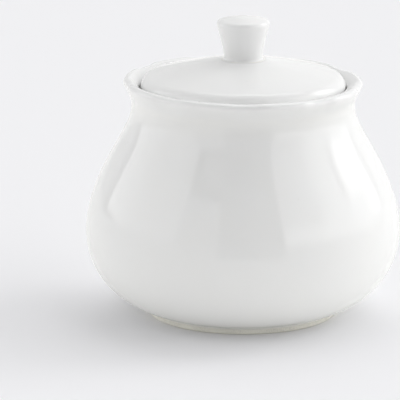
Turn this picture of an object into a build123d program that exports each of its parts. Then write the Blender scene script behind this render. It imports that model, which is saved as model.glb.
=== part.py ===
"""Lidded porcelain sugar bowl: a round-bellied bowl with a scalloped lip, a domed lid and its knob.

Millimetres. The origin is the centre of the foot ring on the table, +Z is the axis of the bowl, and the front is -Y.
"""

from build123d import *
import os
from math import cos, radians, sin, tan

# ---- Bowl ----
wall = 3.2  # thickness of the belly and the neck
foot_radius = 36.2  # outside of the foot ring
foot_height = 2.5  # from the table to the root of the belly
foot_width = 3.4  # thickness of the foot ring
foot_round = 0.8  # softened edges and root of the foot ring
underside_height = 1.8  # height of the recess inside the foot ring
floor_thickness = 3.2
floor_pull = 8.5  # how far the inside of the floor stays flat beyond the foot ring

belly_radius = 60.0  # widest radius
belly_height = 32.5  # height of the widest radius
belly_root_angle = 10.0  # slope at which the belly leaves the foot ring, degrees
belly_root_pull = 5.3  # how far the belly keeps that slope
belly_low_pull = 21.3  # fullness below the widest radius
belly_high_pull = 21.3  # fullness above the widest radius

neck_radius = 42.5  # outside of the neck at its narrowest
neck_height = 80.2  # height of the narrowest point
neck_pull = 9.1  # how long the neck stays upright below that point

# ---- Lip ----
lip_rise = 10.0  # from the narrowest point of the neck to the top of the lip
lip_upright = 1.2  # upright part of the neck before the lip starts to flare
lip_flare = 3.6  # how far the scallop crests stand out from the neck
lip_thickness = 3.3
lip_round = 1.2  # rounded edges of the lip
scallops = 8
scallop_depth = 1.5  # from a crest in to the valley beside it
scallop_turn = 31.2  # direction of one valley from the front, degrees

# ---- Gallery, the ledge inside the neck that carries the lid ----
gallery_depth = 4.4  # from the top of the lip down to the ledge
gallery_wall = 2.85  # thickness of the neck beside the ledge
gallery_upright = 1.4  # upright wall above the ledge, before the inside flares
ledge_width = 3.6
ledge_thickness = 2.6
ledge_round = 0.6

# ---- Lid ----
lid_gap = 0.9  # around the edge of the lid
flange_gap = 0.6  # around the locating flange
lid_wall = 3.0
lid_rise = 12.8  # from the ledge to the flat that carries the knob
lid_edge_rise = 2.4  # from the ledge to the widest point of the edge
lid_edge_round = 4.5  # upper roll of the edge
lid_lower_round = 1.2  # lower roll of the edge
dome_start_angle = 10.0  # slope beside the knob, degrees
dome_end_angle = 14.0  # slope where the edge starts to roll over, degrees
dome_pull = 9.0  # how far the dome keeps each slope
flange_depth = 6.5
flange_width = 2.6
flange_taper = 0.4  # how much smaller the flange is at its tip
flange_round = 0.9

# ---- Knob ----
knob_root_radius = 7.2
knob_root_flare = 0.9  # small flare of slip at the joint
knob_root_pull = 4.0  # how long the side stays upright above the root
knob_head_radius = 10.15  # before its edge is rounded
knob_head_height = 14.8  # from the lid to the edge of the head
knob_head_pull = 5.0  # how long the side keeps its slope below the head
knob_head_angle = 78.0  # slope of the side below the head, degrees
knob_edge_round = 1.1
knob_crown = 1.3  # rise of the crown above the edge of the head
land_margin = 0.5  # flat of the lid around the root of the knob

# ---- Heights and radii that follow from these ----
lip_height = neck_height + lip_rise
flare_height = neck_height + lip_upright
ledge_height = lip_height - gallery_depth
gallery_top = ledge_height + gallery_upright
gallery_radius = neck_radius - gallery_wall
mouth_radius = gallery_radius - ledge_width
floor_height = underside_height + floor_thickness
inside_crest = neck_radius + lip_flare - lip_thickness
lid_radius = gallery_radius - lid_gap
lid_edge_height = ledge_height + lid_edge_rise
flange_radius = mouth_radius - flange_gap
flange_tip = ledge_height - flange_depth
land_height = ledge_height + lid_rise
land_radius = knob_root_radius + knob_root_flare + land_margin
outside_steps = 6  # sections that shape the outside of the lip
inside_steps = 4  # sections that shape the inside of the lip


def polar(length, angle):
    """Point at a distance from the origin, in a direction in degrees."""
    return Vector(length * cos(radians(angle)), length * sin(radians(angle)))


def bend_radius(pull, offset):
    """Radius of the bend at the end of a cubic curve, from its handle and how far the next handle lies off it."""
    return 1.5 * pull**2 / offset


def belly_side(start, start_handle, radius, low_pull, high_pull, top_radius, top_pull):
    """Side of the belly up to the neck: two curves that meet upright at the widest radius."""
    widest = (radius, belly_height)
    Bezier(start, start_handle, (radius, belly_height - low_pull), widest)
    Bezier(
        widest,
        (radius, belly_height + high_pull),
        (top_radius, neck_height - top_pull),
        (top_radius, neck_height),
    )


def scallop_outline(crest, valley, height):
    """Outline of the lip at a height: equal arcs over the crests, which meet in the valleys."""
    pitch = 360 / scallops
    with BuildSketch(Plane.XY.offset(height)) as outline:
        with BuildLine():
            for index in range(scallops):
                start = scallop_turn - 90 + index * pitch
                ThreePointArc(polar(valley, start), polar(crest, start + pitch / 2), polar(valley, start + pitch))
        make_face()
    return outline.sketch


# ---- Inside of the belly: its handles change with the bends they cross, so that the wall stays even ----
belly_root = Vector(foot_radius, foot_height)
belly_root_handle = belly_root + polar(belly_root_pull, belly_root_angle)
low_bend = bend_radius(belly_low_pull, belly_radius - belly_root_handle.X)
high_bend = bend_radius(belly_high_pull, belly_radius - neck_radius)
neck_bend = bend_radius(neck_pull, belly_radius - neck_radius)
inside_low_pull = belly_low_pull * (1 - wall / low_bend)
inside_high_pull = belly_high_pull * (1 - wall / high_bend)
inside_neck_pull = neck_pull * (1 + wall / neck_bend)
floor_radius = foot_radius - wall

with BuildPart() as bowl:
    # Belly, neck and foot ring
    with BuildSketch(Plane.XZ) as bowl_profile:
        with BuildLine():
            foot_inside = foot_radius - foot_width
            Polyline(
                (0, neck_height + lip_upright),
                (0, underside_height),
                (foot_inside, underside_height),
                (foot_inside, 0),
                (foot_radius, 0),
                belly_root,
            )
            belly_side(
                belly_root, belly_root_handle, belly_radius, belly_low_pull, belly_high_pull, neck_radius, neck_pull
            )
            Polyline(
                (neck_radius, neck_height),
                (neck_radius, flare_height),
                (0, flare_height),
            )
        make_face()
        foot_corners = bowl_profile.vertices().filter_by_position(Axis.X, foot_inside, foot_radius)
        fillet(foot_corners, min(foot_round, underside_height * 0.45, foot_width * 0.45))
    revolve(axis=Axis.Z)

    # Flared lip: round at the neck, scalloped at the top
    for step in range(outside_steps + 1):
        height = flare_height + (lip_height - flare_height) * step / outside_steps
        share = sin(radians(90 * step / outside_steps)) ** 2
        add(scallop_outline(neck_radius + lip_flare * share, neck_radius + (lip_flare - scallop_depth) * share, height))
    loft()

    # Hollow of the belly, mouth and ledge
    with BuildSketch(Plane.XZ) as hollow_profile:
        with BuildLine():
            Line((0, floor_height), (floor_radius, floor_height))
            belly_side(
                (floor_radius, floor_height),
                (floor_radius + floor_pull, floor_height),
                belly_radius - wall,
                inside_low_pull,
                inside_high_pull,
                neck_radius - wall,
                inside_neck_pull,
            )
            Polyline(
                (neck_radius - wall, neck_height),
                (mouth_radius, ledge_height - ledge_thickness),
                (mouth_radius, ledge_height),
                (gallery_radius, ledge_height),
                (gallery_radius, gallery_top),
                (0, gallery_top),
                (0, floor_height),
            )
        make_face()
        ledge_corners = hollow_profile.vertices().filter_by_position(Axis.X, mouth_radius, mouth_radius)
        fillet(ledge_corners, min(ledge_round, ledge_thickness * 0.45))
    revolve(axis=Axis.Z, mode=Mode.SUBTRACT)

    # Inside of the lip: round above the ledge, scalloped at the top
    for step in range(inside_steps + 1):
        height = gallery_top + (lip_height - gallery_top) * step / inside_steps
        share = 1 - cos(radians(90 * step / inside_steps))
        crest = gallery_radius + (inside_crest - gallery_radius) * share
        add(scallop_outline(crest, crest - scallop_depth * share, height))
    loft(mode=Mode.SUBTRACT)
    lip_edges = bowl.edges().group_by(Axis.Z)[-1]
    fillet(lip_edges, min(lip_round, lip_thickness * 0.45))

# ---- Lid ----
dome_start = Vector(land_radius, land_height)
dome_end = Vector(lid_radius - lid_edge_round, lid_edge_height) + polar(lid_edge_round, 90 - dome_end_angle)
flange_inside = flange_radius - flange_width
vault_height = dome_end.Y + (dome_end.X - flange_inside) * tan(radians(dome_end_angle)) - lid_wall

with BuildPart() as lid:
    with BuildSketch(Plane.XZ) as lid_profile:
        with BuildLine():
            Line((0, land_height), dome_start)
            Bezier(
                dome_start,
                dome_start + polar(dome_pull, -dome_start_angle),
                dome_end - polar(dome_pull, -dome_end_angle),
                dome_end,
            )
            TangentArc(dome_end, (lid_radius, lid_edge_height), tangent=polar(1, -dome_end_angle))
            Polyline(
                (lid_radius, lid_edge_height),
                (lid_radius, ledge_height),
                (flange_radius, ledge_height),
                (flange_radius - flange_taper, flange_tip),
                (flange_inside, flange_tip),
                (flange_inside, vault_height),
            )
            Bezier(
                (flange_inside, vault_height),
                Vector(flange_inside, vault_height) - polar(dome_pull, -dome_end_angle),
                (dome_pull, land_height - lid_wall),
                (0, land_height - lid_wall),
            )
            Line((0, land_height - lid_wall), (0, land_height))
        make_face()
        corners = lid_profile.vertices()
        fillet(corners.filter_by_position(Axis.Y, flange_tip, flange_tip), min(flange_round, flange_width * 0.4))
        corners = lid_profile.vertices()
        rim_corner = corners.filter_by_position(Axis.Y, ledge_height, ledge_height).sort_by(Axis.X)[-1]
        fillet(rim_corner, min(lid_lower_round, lid_edge_rise * 0.8))
        vault_corner = lid_profile.vertices().filter_by_position(Axis.Y, vault_height, vault_height)
        fillet(vault_corner, lid_wall)
    revolve(axis=Axis.Z)

# ---- Knob ----
knob_root = Vector(knob_root_radius, land_height + knob_root_flare)
knob_head = Vector(knob_head_radius, land_height + knob_head_height)

with BuildPart() as knob:
    with BuildSketch(Plane.XZ) as knob_profile:
        with BuildLine():
            Line((0, land_height), (knob_root_radius + knob_root_flare, land_height))
            TangentArc(knob_root, (knob_root_radius + knob_root_flare, land_height), tangent=(0, -1))
            Bezier(
                knob_root,
                knob_root + Vector(0, knob_root_pull),
                knob_head - polar(knob_head_pull, knob_head_angle),
                knob_head,
            )
            TangentArc((0, knob_head.Y + knob_crown), knob_head, tangent=(1, 0))
            Line((0, knob_head.Y + knob_crown), (0, land_height))
        make_face()
        head_corner = knob_profile.vertices().sort_by(Axis.X)[-1]
        fillet(head_corner, knob_edge_round)
    revolve(axis=Axis.Z)

# ---- Files ----
os.makedirs("parts", exist_ok=True)
bowl.part.label = "bowl"
export_step(bowl.part, "parts/bowl.step")
lid.part.label = "lid"
export_step(lid.part, "parts/lid.step")
knob.part.label = "knob"
export_step(knob.part, "parts/knob.step")
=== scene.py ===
"""Dresses the lidded sugar bowl: turned porcelain under a clear glaze, on a plain floor in soft light."""

from math import cos, pi, radians, sin, sqrt, tan

import bpy
import numpy as np
from bpy.props import FloatProperty, FloatVectorProperty, IntProperty, PointerProperty
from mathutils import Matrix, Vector


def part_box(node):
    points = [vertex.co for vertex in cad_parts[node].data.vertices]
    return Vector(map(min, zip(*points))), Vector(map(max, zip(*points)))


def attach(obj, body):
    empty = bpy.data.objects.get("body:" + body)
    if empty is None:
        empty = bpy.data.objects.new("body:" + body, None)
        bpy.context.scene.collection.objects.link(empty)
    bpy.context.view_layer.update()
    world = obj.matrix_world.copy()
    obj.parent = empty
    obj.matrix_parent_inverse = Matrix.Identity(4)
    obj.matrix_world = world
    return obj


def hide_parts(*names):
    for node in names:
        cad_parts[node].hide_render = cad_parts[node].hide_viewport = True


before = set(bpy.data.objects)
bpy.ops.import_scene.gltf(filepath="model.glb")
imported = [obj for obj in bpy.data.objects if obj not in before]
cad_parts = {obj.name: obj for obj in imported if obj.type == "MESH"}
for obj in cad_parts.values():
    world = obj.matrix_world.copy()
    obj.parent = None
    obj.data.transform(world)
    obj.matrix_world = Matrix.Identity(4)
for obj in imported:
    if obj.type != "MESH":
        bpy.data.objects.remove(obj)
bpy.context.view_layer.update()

bl_info = {
    "name": "Lidded Sugar Bowl",
    "version": (1, 0, 0),
    "blender": (4, 5, 0),
    "location": "3D View > Sidebar > Sugar Bowl",
    "description": "Makes a glazed porcelain sugar bowl with a scalloped lip, a domed lid and a knob",
    "category": "Add Mesh",
}

MM = 0.001
BOWL_LOW, BOWL_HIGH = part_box("bowl")
LID_LOW, LID_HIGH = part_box("lid")
KNOB_LOW, KNOB_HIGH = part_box("knob")


# ---- Settings that a user would change ----


def length(name, description, millimetres):
    """Length property whose default is given in millimetres."""
    return FloatProperty(
        name=name, description=description, default=millimetres * MM, min=0, precision=5, unit="LENGTH"
    )


def angle(name, description, degrees):
    """Angle property whose default is given in degrees."""
    return FloatProperty(name=name, description=description, default=radians(degrees), subtype="ANGLE")


def share(name, description, default):
    """Plain number from 0 to 1."""
    return FloatProperty(name=name, description=description, default=default, min=0, max=1)


def colour(name, description, default):
    """Colour property in linear red, green and blue."""
    return FloatVectorProperty(
        name=name, description=description, default=default, min=0, max=1, subtype="COLOR"
    )


class BowlSizes(bpy.types.PropertyGroup):
    """Shape of the bowl. The level of its lip and its widest radius come from the frame."""

    foot_radius: length("Foot radius", "Outside of the foot ring", 36.2)
    foot_width: length("Foot width", "Thickness of the foot ring", 3.4)
    foot_height: length("Foot height", "From the table to the root of the belly", 2.5)
    foot_round: length("Foot rounding", "Softened edges of the foot ring", 0.8)
    root_round: length("Root rounding", "Hollow where the belly grows out of the foot ring", 1.6)
    underside_height: length("Underside height", "Recess inside the foot ring", 1.8)
    floor_height: length("Floor height", "Inside of the floor above the table", 5.0)
    floor_pull: length("Floor pull", "How far the inside of the floor stays flat beyond the foot ring", 8.5)
    wall: length("Wall", "Thickness of the belly and the neck", 3.2)
    belly_height: length("Belly height", "Height of the widest radius", 32.5)
    belly_root_angle: angle("Belly root angle", "Slope at which the belly leaves the foot ring", 10)
    belly_root_pull: length("Belly root pull", "How far the belly keeps that slope", 5.3)
    belly_pull: length("Belly pull", "Fullness of the belly beside its widest radius", 21.3)
    belly_inside_low_pull: length("Low pull inside", "Fullness of the inside below its widest", 19.44)
    belly_inside_high_pull: length("High pull inside", "Fullness of the inside above its widest", 19.55)
    neck_radius: length("Neck radius", "Outside of the neck at its narrowest", 42.5)
    neck_drop: length("Neck drop", "From the top of the lip down to the narrowest point of the neck", 11.2)
    neck_pull: length("Neck pull", "How long the neck stays upright", 9.1)
    neck_inside_pull: length("Neck pull inside", "How long the inside of the neck stays upright", 13.2)
    lip_rise: length("Lip rise", "From the level lip of the frame up to the highest side of this one", 1.2)
    lip_upright: length("Lip upright", "Upright part of the neck before the lip flares", 1.2)
    lip_flare: length("Lip flare", "How far the scallop crests stand out from the neck", 3.35)
    lip_thickness: length("Lip thickness", "Thickness of the roll at the top of the lip", 2.6)
    lip_round: length("Lip rounding", "Outer side of the roll at the top of the lip", 1.9)
    lip_inside_round: length("Inside lip rounding", "Inner side of the roll at the top of the lip", 1.6)
    scallops: IntProperty(name="Scallops", description="Number of scallops around the lip", default=9, min=3)
    valley_depth: length("Valley depth", "From a crest in to the valley beside it", 0.85)
    valley_drop: length("Valley drop", "From a crest down to the valley beside it", 0.37)
    valley_floor: angle("Valley floor", "Half the width of the bottom of a valley", 3)
    valley_width: angle("Valley width", "Half the width of a valley at the crests", 10.5)
    lip_sag: length("Lip sag", "How much lower one side of the lip has dried than the other", 1.24)
    lip_sag_turn: angle("Lip sag turn", "Lowest side of the lip, from the front round to the right", 60)
    gallery_depth: length("Ledge depth", "From the top of the lip down to the lid's ledge", 5.6)
    gallery_wall: length("Ledge wall", "Thickness of the neck beside the ledge", 3.35)
    gallery_upright: length("Ledge upright", "Upright wall above the ledge", 1.4)
    ledge_width: length("Ledge width", "Width of the ledge", 3.6)
    ledge_thickness: length("Ledge thickness", "Thickness of the ledge at the mouth", 2.6)
    ledge_round: length("Ledge rounding", "Rounded edges of the ledge", 0.6)


class LidSizes(bpy.types.PropertyGroup):
    """Shape of the lid. Its radius, its top and the tip of its flange come from the frame."""

    edge_reach: length("Edge reach", "How far the glaze carries the edge beyond the frame's", 0.25)
    land_radius: length("Land radius", "Flat that carries the knob", 8.8)
    edge_rise: length("Edge rise", "From the ledge to the widest point of the edge", 2.4)
    edge_round: length("Edge roll", "Upper roll of the edge", 4.5)
    lower_round: length("Lower roll", "Lower roll of the edge", 1.2)
    dome_start_angle: angle("Dome start", "Slope of the dome beside the knob", 10)
    dome_end_angle: angle("Dome end", "Slope where the edge starts to roll over", 14)
    dome_pull: length("Dome pull", "How far the dome keeps each slope", 9)
    wall: length("Wall", "Thickness of the dome", 3)
    flange_radius: length("Flange radius", "Outside of the locating flange", 35.45)
    flange_depth: length("Flange depth", "From the seat to the tip of the flange", 6.5)
    flange_width: length("Flange width", "Thickness of the flange", 2.6)
    flange_taper: length("Flange taper", "How much smaller the flange is at its tip", 0.4)
    flange_round: length("Flange rounding", "Rounded tip of the flange", 0.9)


class KnobSizes(bpy.types.PropertyGroup):
    """Shape of the knob. Its foot and its top come from the frame."""

    root_radius: length("Root radius", "Side of the knob above its root", 7.4)
    root_flare: length("Root flare", "Flare of slip where the knob joins the lid", 0.9)
    root_pull: length("Root pull", "How long the side stays upright above the root", 4)
    head_corner: length("Head corner", "Radius of the head before its edge is rounded", 10.35)
    head_pull: length("Head pull", "How long the side keeps its slope below the head", 5)
    head_angle: angle("Head angle", "Slope of the side below the head", 78)
    edge_round: length("Edge rounding", "Rounded edge of the head", 1.6)
    crown: length("Crown", "Rise of the crown above the edge of the head", 1.3)


class GlazeLook(bpy.types.PropertyGroup):
    """Colours and gloss of the porcelain."""

    body: colour("Porcelain", "White body seen through the glaze", (0.862, 0.865, 0.867))
    # The pooled tint is also painted warm shade: it darkens and warms the hollows, such as where the belly
    # meets the foot, the neck, the knob root and the ledge.
    pooled_and_shaded: colour("Pooled glaze", "Tint of the glaze where it gathers thick", (0.85, 0.835, 0.78))
    thin: colour("Thin glaze", "Tint over sharp edges, where the glaze draws thin", (0.872, 0.873, 0.872))
    biscuit: colour("Biscuit", "Unglazed porcelain of the foot and the seats", (0.86, 0.845, 0.77))
    rubbed: colour("Rubbed biscuit", "Grey that the biscuit takes from handling", (0.60, 0.585, 0.54))
    gloss: share("Glaze roughness", "Roughness of the glaze", 0.015)
    haze: share("Haze", "How much rougher the glaze is where it is dullest", 0.02)
    biscuit_roughness: share("Biscuit roughness", "Roughness of the unglazed porcelain", 0.62)
    cloud_size: length("Cloud size", "Width of the clouds of thicker glaze", 13)
    clouds: share("Clouds", "Share of the pooled tint that the clouds take", 0.18)
    ripple: length("Ripple", "Height of the slow ripple of the glaze", 0.016)
    ripple_size: length("Ripple size", "Width of the ripple", 16)
    peel: length("Orange peel", "Height of the fine ripple of the glaze", 0.0012)
    peel_size: length("Orange peel size", "Width of the fine ripple", 1.7)
    pinhole: length("Pinhole", "Radius and depth of the rare pinholes in the glaze", 0.16)
    pinhole_spacing: length("Pinhole spacing", "Size of the cells that may hold a pinhole", 8)
    waver: length("Waver", "How far the wiped edge of the glaze wavers", 0.3)
    grain: length("Grain", "Height of the grain of the biscuit", 0.02)
    turning_mark: length("Turning mark", "Height of the rings that the turning tool left", 0.012)
    turning_pitch: length("Turning pitch", "Distance between those rings", 0.7)


class StudioLook(bpy.types.PropertyGroup):
    """Camera, floor and light."""

    camera_distance: length("Camera distance", "From the camera to the middle of the bowl", 1490)
    camera_elevation: angle("Camera elevation", "Height of the camera above the middle of the bowl", 13.445)
    camera_middle: length("Camera middle", "Height of the point that the camera stands off from", 50)
    camera_view: angle("Angle of view", "Width of the view", 5.878)
    aim_left: length("Aim left", "How far left of the axis the camera aims", 16.4)
    aim_height: length("Aim height", "Height that the camera aims at", 43.4)
    floor: colour("Floor", "Colour of the floor and of what lies behind it", (0.879, 0.879, 0.896))
    floor_bounce: colour("Floor bounce", "Colour that the floor throws up at the bowl", (0.95, 0.95, 0.94))
    floor_width: length("Floor width", "Width of the floor", 60000)
    floor_front: length("Floor front", "From the axis forward to the front edge of the floor", 350)


# ---- Turned outlines ----

RUN_STEP = 0.9 * MM
CORNER_STEPS = 7
HOLLOW = "hollow"
HOLLOW_REACH = 1.6 * MM


class Outline:
    """Half section of a turned piece: points of radius, height and share of the scallops that they take."""

    def __init__(self, radius, height):
        self.points = [self.point(radius, height)]
        self.corners = []

    @staticmethod
    def point(radius, height, scalloped=0.0):
        return Vector((radius, height, scalloped))

    def line(self, radius, height, rounding=0.0):
        """Straight run to a point, whose corner is then rounded."""
        start, end = self.points[-1], self.point(radius, height)
        steps = max(2, round((end - start).length / RUN_STEP))
        self.through([start.lerp(end, step / steps) for step in range(1, steps + 1)], rounding)

    def curve(self, handle, second_handle, end, rounding=0.0):
        """Cubic curve to a point, whose corner is then rounded."""
        a, b, c, d = self.points[-1], self.point(*handle), self.point(*second_handle), self.point(*end)
        steps = max(4, round(((b - a).length + (c - b).length + (d - c).length) / RUN_STEP))
        self.through([cubic(step / steps, a, b, c, d) for step in range(1, steps + 1)], rounding)

    def through(self, points, rounding=0.0):
        """Run through given points, whose last corner is then rounded."""
        self.points += points
        if rounding:
            self.corners.append((len(self.points) - 1, rounding))

    def rounded(self):
        """Points of the outline, with each marked corner replaced by an arc."""
        points, done = [], 0
        for corner, rounding in self.corners:
            tip = self.points[corner]
            inward = (self.points[corner - 1] - tip).xy
            outward = (self.points[corner + 1] - tip).xy
            turn = pi - inward.angle(outward)
            reach = rounding * tan(turn / 2)
            first = self.step_away(corner, -1, reach)
            last = self.step_away(corner, 1, reach)
            start = self.cut(first, first + 1, tip, reach)
            end = self.cut(last, last - 1, tip, reach)
            pull = tan(turn / 4) / tan(turn / 2) * 4 / 3
            handles = start.lerp(tip, pull), end.lerp(tip, pull)
            arc = [cubic(step / CORNER_STEPS, start, *handles, end) for step in range(CORNER_STEPS + 1)]
            points += self.points[done : first + 1] + arc
            done = last
        return points + self.points[done:]

    def step_away(self, corner, step, reach):
        """Index of the first point that lies further from the corner than the reach of its arc."""
        index = corner + step
        while (self.points[index] - self.points[corner]).xy.length <= reach * 1.02:
            index += step
        return index

    def cut(self, far, near, tip, reach):
        """Point between two neighbours at the reach of an arc from its corner."""
        outside = (self.points[far] - tip).xy.length
        inside = (self.points[near] - tip).xy.length
        return self.points[near].lerp(self.points[far], (reach - inside) / (outside - inside))


def cubic(t, a, b, c, d):
    """Point at a share t of a cubic curve."""
    return (1 - t) ** 3 * a + 3 * t * (1 - t) ** 2 * b + 3 * t**2 * (1 - t) * c + t**3 * d


def slope(distance, direction):
    """Step in radius and height along a direction."""
    return Vector((distance * cos(direction), distance * sin(direction)))


def valleys(azimuth, sizes):
    """Depth of the scallops around the lip: 1 in a valley, 0 over a crest. One valley faces the front."""
    pitch = 2 * pi / sizes.scallops
    front = -pi / 2
    beside = np.abs((azimuth - front + pitch / 2) % pitch - pitch / 2)
    rise = np.clip((sizes.valley_width - beside) / (sizes.valley_width - sizes.valley_floor), 0, 1)
    return rise**2 * (3 - 2 * rise)


def sagged(azimuth, sizes):
    """How far the lip stands below its highest side."""
    lowest = sizes.lip_sag_turn - pi / 2
    return sizes.lip_sag * (1 + np.cos(azimuth - lowest)) / 2


def hollowness(points):
    """How hollow the outline is at each point: its turn, in radians, over a stretch of HOLLOW_REACH each way.

    It is above 0 in a hollow and below 0 over an edge.
    """
    steps = np.diff(points[:, :2], axis=0)
    along = np.concatenate([[0], np.cumsum(np.hypot(steps[:, 0], steps[:, 1]))])
    turns = np.zeros(len(points))
    turns[1:-1] = np.diff(np.unwrap(np.arctan2(steps[:, 1], steps[:, 0])))
    near = np.exp(-(((along[:, None] - along[None, :]) / HOLLOW_REACH) ** 2) / 2)
    return -near @ turns


def turned_mesh(name, outline, segments, scallops=None):
    """Closed mesh of a half section turned about the axis, from one pole on the axis to the other."""
    points = np.array(outline.rounded())
    hollow = hollowness(points)
    azimuth = np.arange(segments) * 2 * pi / segments
    rings = points[1:-1]
    radius = np.repeat(rings[:, 0:1], segments, axis=1)
    height = np.repeat(rings[:, 1:2], segments, axis=1)
    if scallops:
        share, valley = rings[:, 2:3], valleys(azimuth, scallops)
        radius -= share * scallops.valley_depth * valley
        height -= share * (scallops.valley_drop * valley + sagged(azimuth, scallops))
    grid = np.stack([radius * np.cos(azimuth), radius * np.sin(azimuth), height], axis=2).reshape(-1, 3)
    poles = [(0, 0, points[0, 1]), (0, 0, points[-1, 1])]
    corners = np.arange(len(rings) * segments).reshape(len(rings), segments)
    beside = np.roll(corners, -1, axis=1)
    quads = np.stack([corners[:-1], beside[:-1], beside[1:], corners[1:]], axis=2).reshape(-1, 4).tolist()
    bottom, top = len(grid), len(grid) + 1
    fans = [(bottom, b, a) for a, b in zip(corners[0].tolist(), beside[0].tolist())]
    fans += [(top, a, b) for a, b in zip(corners[-1].tolist(), beside[-1].tolist())]
    mesh = bpy.data.meshes.new(name)
    mesh.from_pydata(grid.tolist() + poles, [], quads + fans)
    mesh.shade_smooth()
    mesh.validate()
    values = np.concatenate([np.repeat(hollow[1:-1], segments), hollow[[0, -1]]])
    mesh.attributes.new(HOLLOW, "FLOAT", "POINT").data.foreach_set("value", values)
    piece = bpy.data.objects.new(name, mesh)
    bpy.context.scene.collection.objects.link(piece)
    return piece


# ---- Shader maths ----


class Sock:
    """A shader socket that can be used in Python expressions, which then add the Math nodes."""

    def __init__(self, shader, socket):
        self.shader = shader
        self.socket = socket

    def maths(self, operation, *values):
        values = values or (self,)
        return self.shader.node("ShaderNodeMath", {"operation": operation}, dict(enumerate(values)))

    def __add__(self, other):
        return self.maths("ADD", self, other)

    __radd__ = __add__

    def __sub__(self, other):
        return self.maths("SUBTRACT", self, other)

    def __rsub__(self, other):
        return self.maths("SUBTRACT", other, self)

    def __mul__(self, other):
        return self.maths("MULTIPLY", self, other)

    __rmul__ = __mul__

    def __abs__(self):
        return self.maths("ABSOLUTE", self)

    def highest(self, other):
        return self.maths("MAXIMUM", self, other)

    def ramp(self, low, high):
        """0 below low and 1 above high, smooth between them; a falling ramp has low above high."""
        rising = low < high
        settings = {"interpolation_type": "SMOOTHSTEP"}
        values = {"Value": self, "From Min": min(low, high), "From Max": max(low, high)}
        values.update({"To Min": 0.0 if rising else 1.0, "To Max": 1.0 if rising else 0.0})
        return self.shader.node("ShaderNodeMapRange", settings, values)

    def near(self, middle, reach, edge):
        """1 within reach of a middle value, 0 outside it."""
        return abs(self - middle).ramp(reach + edge / 2, reach - edge / 2)

    def vector(self, operation, *values, output="Vector"):
        values = dict(enumerate((self, *values)))
        return self.shader.node("ShaderNodeVectorMath", {"operation": operation}, values, output)

    def from_axis(self):
        """Distance of a place from the axis of the bowl."""
        return self.vector("MULTIPLY", (1, 1, 0)).vector("LENGTH", output="Value")

    def part(self, axis):
        return self.shader.node("ShaderNodeSeparateXYZ", {}, {0: self}, axis)


class Shader:
    """Node tree of one material or world, built by expressions."""

    def __init__(self, owner):
        owner.use_nodes = True
        self.tree = owner.node_tree
        self.tree.nodes.clear()

    def node(self, kind, settings=None, values=None, output=0):
        """Adds a node, sets it up and fills its inputs with numbers or links. Returns one output, if any."""
        node = self.tree.nodes.new(kind)
        for name, value in (settings or {}).items():
            setattr(node, name, value)
        for name, value in (values or {}).items():
            if isinstance(value, Sock):
                self.tree.links.new(value.socket, node.inputs[name])
            else:
                node.inputs[name].default_value = value
        return Sock(self, node.outputs[output]) if len(node.outputs) else None

    def mix(self, share, low, high):
        """Colour between two colours."""
        values = {0: share, 6: low, 7: high}
        return self.node("ShaderNodeMix", {"data_type": "RGBA"}, values, 2)

    def noise(self, place, size, detail=2.0, roughness=0.5):
        """Noise from 0 to 1 with a feature size in metres."""
        values = {"Vector": place, "Scale": 1 / size, "Detail": detail, "Roughness": roughness}
        return self.node("ShaderNodeTexNoise", {}, values, "Fac")

    def coordinates(self, kind):
        return self.node("ShaderNodeTexCoord", {}, {}, kind)

    def output(self, kind, shader):
        self.node(kind, {}, {"Surface": shader})


def rgba(rgb):
    return (*rgb, 1.0)


def porcelain(name, wiped):
    """Porcelain under a clear glaze, which gathers in hollows, thins over edges and is wiped off in places;
    its warm tint in the hollows is both pooled glaze and painted warm shade.

    The mask wiped is a function of the distance from the axis and of the height.
    """
    look = bpy.context.scene.sugar_bowl_glaze
    material = bpy.data.materials.new(name)
    shader = Shader(material)
    place = shader.coordinates("Object")
    radius = place.from_axis()
    hollow = shader.node("ShaderNodeAttribute", {"attribute_name": HOLLOW}, {}, "Fac")
    cloud = shader.noise(place, look.cloud_size, 3.0)
    ripple = shader.noise(place, look.ripple_size, 1.5)
    peel = shader.noise(place, look.peel_size, 1.0)
    grain = shader.noise(place, 0.4 * MM, 4.0, 0.6)
    waver = (shader.noise(place, 5 * MM) - 0.5) * look.waver
    bare = wiped(radius + waver, place.part("Z") + waver)
    spacing = {"Vector": place, "Scale": 1 / look.pinhole_spacing}
    from_pinhole = shader.node("ShaderNodeTexVoronoi", {}, spacing, "Distance") * look.pinhole_spacing
    pinhole = from_pinhole.ramp(look.pinhole, look.pinhole / 3)

    # Painted warm shade in the hollows, together with pooled glaze there; the clouds add thicker glaze at
    # random.
    hollow_pooling_and_shade = hollow.ramp(0.1, 1.3) * (1 - look.clouds) + cloud * look.clouds
    glaze = shader.mix(hollow_pooling_and_shade, rgba(look.body), rgba(look.pooled_and_shaded))
    glaze = shader.mix(hollow.ramp(-0.5, -1.5), glaze, rgba(look.thin))
    rubbing = grain.ramp(0.35, 0.75) * cloud.ramp(0.3, 0.7)
    biscuit = shader.mix(rubbing, rgba(look.biscuit), rgba(look.rubbed))
    glaze = shader.mix(pinhole, glaze, rgba(look.rubbed))

    dull = cloud.ramp(0.4, 0.8) * look.haze
    roughness = look.gloss + dull + bare * (look.biscuit_roughness - look.gloss - dull)
    rings = (radius * (2 * pi / look.turning_pitch)).maths("SINE")
    glaze_relief = ripple * look.ripple + peel * look.peel - pinhole * look.pinhole
    biscuit_relief = grain * look.grain + rings * look.turning_mark
    relief = glaze_relief + bare * (biscuit_relief - glaze_relief)
    bump = shader.node("ShaderNodeBump", {}, {"Strength": 1.0, "Distance": 1.0, "Height": relief})
    coat = shader.mix(bare, glaze, biscuit)
    values = {"Base Color": coat, "Roughness": roughness, "IOR": 1.5, "Normal": bump}
    surface = shader.node("ShaderNodeBsdfPrincipled", {}, values)
    shader.output("ShaderNodeOutputMaterial", surface)
    return material


# ---- Pieces ----

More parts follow.
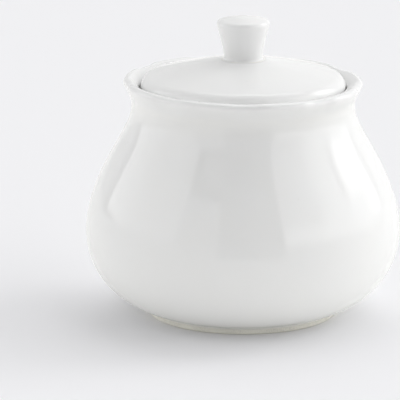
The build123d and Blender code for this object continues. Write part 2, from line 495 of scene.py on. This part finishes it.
BOWL_SEGMENTS = 288
LID_SEGMENTS = 240
KNOB_SEGMENTS = 144
LIP_STEPS = 12
ROLL_STEPS = 12
FLARE_STEPS = 8
CROWN_STEPS = 14


def dress(piece, node, body, material):
    """Puts a piece in place of its CAD node."""
    piece.data.materials.append(material)
    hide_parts(node)
    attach(piece, body)


class SUGARBOWL_OT_bowl(bpy.types.Operator):
    """Makes the bowl, from its foot ring to its scalloped lip"""

    bl_idname = "sugar_bowl.bowl"
    bl_label = "Make bowl"

    def execute(self, context):
        sizes = context.scene.sugar_bowl_bowl
        piece = turned_mesh("porcelain_bowl", self.outline(sizes), BOWL_SEGMENTS, sizes)
        dress(piece, "bowl", "bowl", self.material(sizes))
        return {"FINISHED"}

    def outline(self, sizes):
        """Half section of the bowl, from the underside over the lip to the inside of the floor."""
        belly_radius = min(BOWL_HIGH.x, BOWL_HIGH.y)
        top = BOWL_HIGH.z + sizes.lip_rise
        neck_height = top - sizes.neck_drop
        root = Vector((sizes.foot_radius, sizes.foot_height))
        root_handle = root + slope(sizes.belly_root_pull, sizes.belly_root_angle)
        foot_inside = sizes.foot_radius - sizes.foot_width
        low, high = sizes.belly_height - sizes.belly_pull, sizes.belly_height + sizes.belly_pull

        outline = Outline(0, sizes.underside_height)
        outline.line(foot_inside, sizes.underside_height, sizes.foot_round)
        outline.line(foot_inside, 0, sizes.foot_round)
        outline.line(sizes.foot_radius, 0, sizes.foot_round)
        outline.line(*root, sizes.root_round)
        outline.curve(root_handle, (belly_radius, low), (belly_radius, sizes.belly_height))
        neck = (sizes.neck_radius, neck_height)
        outline.curve((belly_radius, high), (sizes.neck_radius, neck_height - sizes.neck_pull), neck)
        self.lip(outline, sizes, top)

        inside_neck = sizes.neck_radius - sizes.wall
        inside_belly = belly_radius - sizes.wall
        inside_floor = sizes.foot_radius - sizes.wall
        low = sizes.belly_height - sizes.belly_inside_low_pull
        high = sizes.belly_height + sizes.belly_inside_high_pull
        outline.line(inside_neck, neck_height)
        widest = (inside_belly, sizes.belly_height)
        outline.curve((inside_neck, neck_height - sizes.neck_inside_pull), (inside_belly, high), widest)
        edge = inside_floor + sizes.floor_pull
        outline.curve((inside_belly, low), (edge, sizes.floor_height), (inside_floor, sizes.floor_height))
        outline.line(0, sizes.floor_height)
        return outline

    def lip(self, outline, sizes, top):
        """Flared lip over to the ledge that carries the lid, and down to the mouth."""
        flare_height = top - sizes.neck_drop + sizes.lip_upright
        outline.line(sizes.neck_radius, flare_height)
        flare = []
        for step in range(1, LIP_STEPS + 1):
            share = sin(pi / 2 * step / LIP_STEPS) ** 2
            height = flare_height + (top - flare_height) * step / LIP_STEPS
            flare.append(Outline.point(sizes.neck_radius + sizes.lip_flare * share, height, share))
        outline.through(flare, sizes.lip_round)

        ledge = top - sizes.gallery_depth
        gallery = sizes.neck_radius - sizes.gallery_wall
        gallery_top = ledge + sizes.gallery_upright
        inside_crest = sizes.neck_radius + sizes.lip_flare - sizes.lip_thickness
        crown = Outline.point(inside_crest, top, 1.0)
        across = [flare[-1].lerp(crown, step / LIP_STEPS) for step in range(1, LIP_STEPS + 1)]
        outline.through(across, sizes.lip_inside_round)
        inside = []
        for step in range(1, LIP_STEPS + 1):
            share = 1 - cos(pi / 2 * (1 - step / LIP_STEPS))
            height = top + (gallery_top - top) * step / LIP_STEPS
            radius = gallery + (inside_crest - gallery) * share
            inside.append(Outline.point(radius, height, share))
        outline.through(inside)
        outline.line(gallery, ledge, 0.3 * MM)
        mouth = gallery - sizes.ledge_width
        outline.line(mouth, ledge, sizes.ledge_round)
        outline.line(mouth, ledge - sizes.ledge_thickness, sizes.ledge_round)

    def material(self, sizes):
        """Glaze that is wiped off the foot ring and off the ledge that carries the lid."""
        ledge = BOWL_HIGH.z + sizes.lip_rise - sizes.gallery_depth
        ledge_middle = sizes.neck_radius - sizes.gallery_wall - sizes.ledge_width / 2
        ledge_reach = sizes.ledge_width / 2 - sizes.ledge_round

        def wiped(radius, height):
            foot_ring = height.ramp(0.95 * sizes.foot_height, 0.7 * sizes.foot_height)
            on_ledge = height.near(ledge, 0.5 * MM, 0.2 * MM)
            return foot_ring.highest(radius.near(ledge_middle, ledge_reach, 0.3 * MM) * on_ledge)

        return porcelain("glazed_porcelain_bowl", wiped)


class SUGARBOWL_OT_lid(bpy.types.Operator):
    """Makes the lid, with its dome and its locating flange"""

    bl_idname = "sugar_bowl.lid"
    bl_label = "Make lid"

    def execute(self, context):
        sizes = context.scene.sugar_bowl_lid
        piece = turned_mesh("porcelain_lid", self.outline(sizes), LID_SEGMENTS)
        dress(piece, "lid", "lid", self.material(sizes))
        return {"FINISHED"}

    def outline(self, sizes):
        """Half section of the lid, from the vault under it over flange and edge to the land on top."""
        radius, land, tip = LID_HIGH.x + sizes.edge_reach, LID_HIGH.z, LID_LOW.z
        seat = tip + sizes.flange_depth
        edge = seat + sizes.edge_rise
        roll = pi / 2 - sizes.dome_end_angle
        dome_end = Vector((radius - sizes.edge_round, edge)) + slope(sizes.edge_round, roll)
        inside = sizes.flange_radius - sizes.flange_width
        vault = dome_end.y + (dome_end.x - inside) * tan(sizes.dome_end_angle) - sizes.wall
        crown = land - sizes.wall
        vault_handle = Vector((inside, vault)) - slope(sizes.dome_pull, -sizes.dome_end_angle)

        outline = Outline(0, crown)
        outline.curve((sizes.dome_pull, crown), vault_handle, (inside, vault), sizes.wall)
        outline.line(inside, tip, sizes.flange_round)
        outline.line(sizes.flange_radius - sizes.flange_taper, tip, sizes.flange_round)
        outline.line(sizes.flange_radius, seat, 0.2 * MM)
        outline.line(radius, seat, sizes.lower_round)
        outline.line(radius, edge)
        centre = Vector((radius - sizes.edge_round, edge))
        turns = [roll * step / ROLL_STEPS for step in range(1, ROLL_STEPS + 1)]
        rolled = [centre + slope(sizes.edge_round, turn) for turn in turns]
        outline.through([Outline.point(*p) for p in rolled])
        start = Vector((sizes.land_radius, land))
        outline.curve(
            dome_end + slope(sizes.dome_pull, pi - sizes.dome_end_angle),
            start + slope(sizes.dome_pull, -sizes.dome_start_angle),
            start,
        )
        outline.line(0, land)
        return outline

    def material(self, sizes):
        """Glaze that is wiped off the seat and off the tip of the flange."""
        tip = LID_LOW.z
        seat = tip + sizes.flange_depth
        seat_edge = LID_HIGH.x - sizes.lower_round

        def wiped(radius, height):
            flange_tip = height.ramp(tip + 0.9 * sizes.flange_round, tip + 0.5 * sizes.flange_round)
            outside = radius.ramp(sizes.flange_radius - 0.9 * MM, sizes.flange_radius - 0.6 * MM)
            inside = radius.ramp(seat_edge + 0.2 * MM, seat_edge)
            return flange_tip.highest(outside * inside * height.near(seat, 0.5 * MM, 0.2 * MM))

        return porcelain("glazed_porcelain_lid", wiped)


class SUGARBOWL_OT_knob(bpy.types.Operator):
    """Makes the knob on the lid"""

    bl_idname = "sugar_bowl.knob"
    bl_label = "Make knob"

    def execute(self, context):
        sizes = context.scene.sugar_bowl_knob
        piece = turned_mesh("porcelain_knob", self.outline(sizes), KNOB_SEGMENTS)
        dress(piece, "knob", "lid", self.material())
        return {"FINISHED"}

    def outline(self, sizes):
        """Half section of the knob, from its foot on the lid to its crown."""
        foot, top = KNOB_LOW.z, KNOB_HIGH.z
        head = Vector((sizes.head_corner, top - sizes.crown))
        root = Vector((sizes.root_radius, foot + sizes.root_flare))
        outline = Outline(0, foot)
        outline.line(sizes.root_radius + sizes.root_flare, foot)
        flare_centre = Vector((sizes.root_radius + sizes.root_flare, foot + sizes.root_flare))
        turns = [pi / 2 * step / FLARE_STEPS for step in range(1, FLARE_STEPS + 1)]
        flare = [flare_centre - sizes.root_flare * Vector((sin(t), cos(t))) for t in turns]
        outline.through([Outline.point(*p) for p in flare])
        below = head - slope(sizes.head_pull, sizes.head_angle)
        outline.curve((root.x, root.y + sizes.root_pull), below, head, sizes.edge_round)
        crown_radius = (sizes.head_corner**2 + sizes.crown**2) / (2 * sizes.crown)
        crown = []
        for step in range(1, CROWN_STEPS + 1):
            radius = sizes.head_corner * (1 - step / CROWN_STEPS)
            crown.append(Outline.point(radius, top - crown_radius + sqrt(crown_radius**2 - radius**2)))
        outline.through(crown)
        return outline

    def material(self):
        """Glaze that is wiped off only where the knob is luted to the lid."""

        def wiped(radius, height):
            return height.ramp(KNOB_LOW.z + 0.1 * MM, KNOB_LOW.z)

        return porcelain("glazed_porcelain_knob", wiped)


# ---- Stage ----

# The studio around the bowl: azimuths from the front (0) round to the right (90), elevations, the softness of
# the edges, all in degrees, and brightness. Each panel lies over those before it.
SURROUNDING = 0.71
PANELS = (
    ("below the table", -200, 200, -90, 0, 1, 0.9),
    ("table side left", -122, -49, -90, 0, 6, 1.25),
    ("rear top", 112, 210, 52, 75, 6, 2.2),
    ("rear right", 134, 180, 0, 52, 8, 0.95),
    ("left wall", -112, -49, 3, 40, 8, 1.54),
    ("left strip", -124, -99, 4, 31, 5, 1.7),
    ("left gap", -131, -124, -4, 24, 3, 0.45),
    ("left flag", -108, -49, 43, 57, 4, 0.26),
    ("left front", -49, -18, -6, 36, 2, 0.92),
    ("notch", -49, -18, 36, 42, 1, 0.05),
    ("front top", -18, 31, 42, 75, 2, 0),
    ("left top", -49, -18, 42, 75, 2, 0.45),
    ("right front", 31, 70, 15, 45, 6, 1.28),
    ("right wall", 66, 92, 15, 42, 8, 1.95),
    ("right low", 31, 112, 3, 18, 12, 2.15),
    ("key skirt", 83, 129, 2, 20, 8, 1.85),
    ("key", 98, 129, 19, 42, 12, 4.1),
    ("right gap", 129, 135, -4, 42, 2, 0.8),
    ("camera side", -18, 31, -90, 42, 1, 0.22),
)


class SUGARBOWL_OT_stage(bpy.types.Operator):
    """Makes the floor, the light and the camera"""

    bl_idname = "sugar_bowl.stage"
    bl_label = "Make stage"

    def execute(self, context):
        look = context.scene.sugar_bowl_studio
        context.scene.view_settings.view_transform = "Standard"
        self.floor(look)
        self.light(look)
        self.camera(look)
        return {"FINISHED"}

    def floor(self, look):
        """Plain pale floor, whose front edge the glaze reflects."""
        half, front = look.floor_width / 2, look.floor_front
        mesh = bpy.data.meshes.new("studio_floor")
        corners = [(-half, -front, 0), (half, -front, 0), (half, half, 0), (-half, half, 0)]
        mesh.from_pydata(corners, [], [(0, 1, 2, 3)])
        floor = bpy.data.objects.new("studio_floor", mesh)
        bpy.context.scene.collection.objects.link(floor)
        material = bpy.data.materials.new("studio_floor")
        shader = Shader(material)
        seen = shader.node("ShaderNodeLightPath", {}, {}, "Is Camera Ray")
        colour = shader.mix(seen, rgba(look.floor_bounce), rgba(look.floor))
        surface = shader.node("ShaderNodeBsdfDiffuse", {}, {"Color": colour})
        shader.output("ShaderNodeOutputMaterial", surface)
        mesh.materials.append(material)

    def light(self, look):
        """World with panels of light around the bowl, which its glaze mirrors."""
        world = bpy.data.worlds.new("studio")
        bpy.context.scene.world = world
        shader = Shader(world)
        direction = shader.coordinates("Generated")
        azimuth = direction.part("X").maths("ARCTAN2", direction.part("X"), direction.part("Y") * -1)
        elevation = direction.part("Z").maths("ARCSINE")
        strength = SURROUNDING
        for name, left, right, low, high, edge, level in PANELS:
            turn = azimuth.maths("WRAP", azimuth - radians((left + right) / 2), pi, -pi)
            across = turn.near(0, radians((right - left) / 2), radians(edge))
            upright = elevation.near(radians((low + high) / 2), radians((high - low) / 2), radians(edge))
            strength = strength + across * upright * (level - strength)
        light = shader.node("ShaderNodeBackground", {}, {"Color": (1, 1, 1, 1), "Strength": strength})
        pale = shader.node("ShaderNodeBackground", {}, {"Color": rgba(look.floor), "Strength": 1.0})
        seen = shader.node("ShaderNodeLightPath", {}, {}, "Is Camera Ray")
        surface = shader.node("ShaderNodeMixShader", {}, {0: seen, 1: light, 2: pale})
        shader.output("ShaderNodeOutputWorld", surface)

    def camera(self, look):
        """Camera in front of the bowl, a little above it."""
        data = bpy.data.cameras.new("studio_camera")
        data.sensor_width = 36
        data.angle = look.camera_view
        camera = bpy.data.objects.new("studio_camera", data)
        bpy.context.scene.collection.objects.link(camera)
        away = slope(look.camera_distance, look.camera_elevation)
        camera.location = (0, -away.x, look.camera_middle + away.y)
        aim = Vector((-look.aim_left, 0, look.aim_height))
        camera.rotation_euler = (aim - camera.location).to_track_quat("-Z", "Y").to_euler()
        data.clip_start, data.clip_end = 0.01, 2 * look.floor_width
        bpy.context.scene.camera = camera


class SUGARBOWL_PT_panel(bpy.types.Panel):
    """Lists what the add-on makes"""

    bl_idname = "SUGARBOWL_PT_panel"
    bl_label = "Sugar Bowl"
    bl_space_type = "VIEW_3D"
    bl_region_type = "UI"
    bl_category = "Sugar Bowl"

    def draw(self, context):
        for operator in (SUGARBOWL_OT_bowl, SUGARBOWL_OT_lid, SUGARBOWL_OT_knob, SUGARBOWL_OT_stage):
            self.layout.operator(operator.bl_idname)
        for group in GROUPS:
            settings = getattr(context.scene, group)
            box = self.layout.box()
            for name in settings.bl_rna.properties.keys():
                if name not in ("rna_type", "name"):
                    box.prop(settings, name)


GROUPS = {
    "sugar_bowl_bowl": BowlSizes,
    "sugar_bowl_lid": LidSizes,
    "sugar_bowl_knob": KnobSizes,
    "sugar_bowl_glaze": GlazeLook,
    "sugar_bowl_studio": StudioLook,
}
CLASSES = (
    *GROUPS.values(),
    SUGARBOWL_OT_bowl,
    SUGARBOWL_OT_lid,
    SUGARBOWL_OT_knob,
    SUGARBOWL_OT_stage,
    SUGARBOWL_PT_panel,
)


def register():
    for cls in CLASSES:
        bpy.utils.register_class(cls)
    for name, group in GROUPS.items():
        setattr(bpy.types.Scene, name, PointerProperty(type=group))


def unregister():
    for name in GROUPS:
        delattr(bpy.types.Scene, name)
    for cls in reversed(CLASSES):
        bpy.utils.unregister_class(cls)


def main():
    register()
    bpy.ops.sugar_bowl.bowl()
    bpy.ops.sugar_bowl.lid()
    bpy.ops.sugar_bowl.knob()
    bpy.ops.sugar_bowl.stage()


if __name__ == "__main__":
    main()
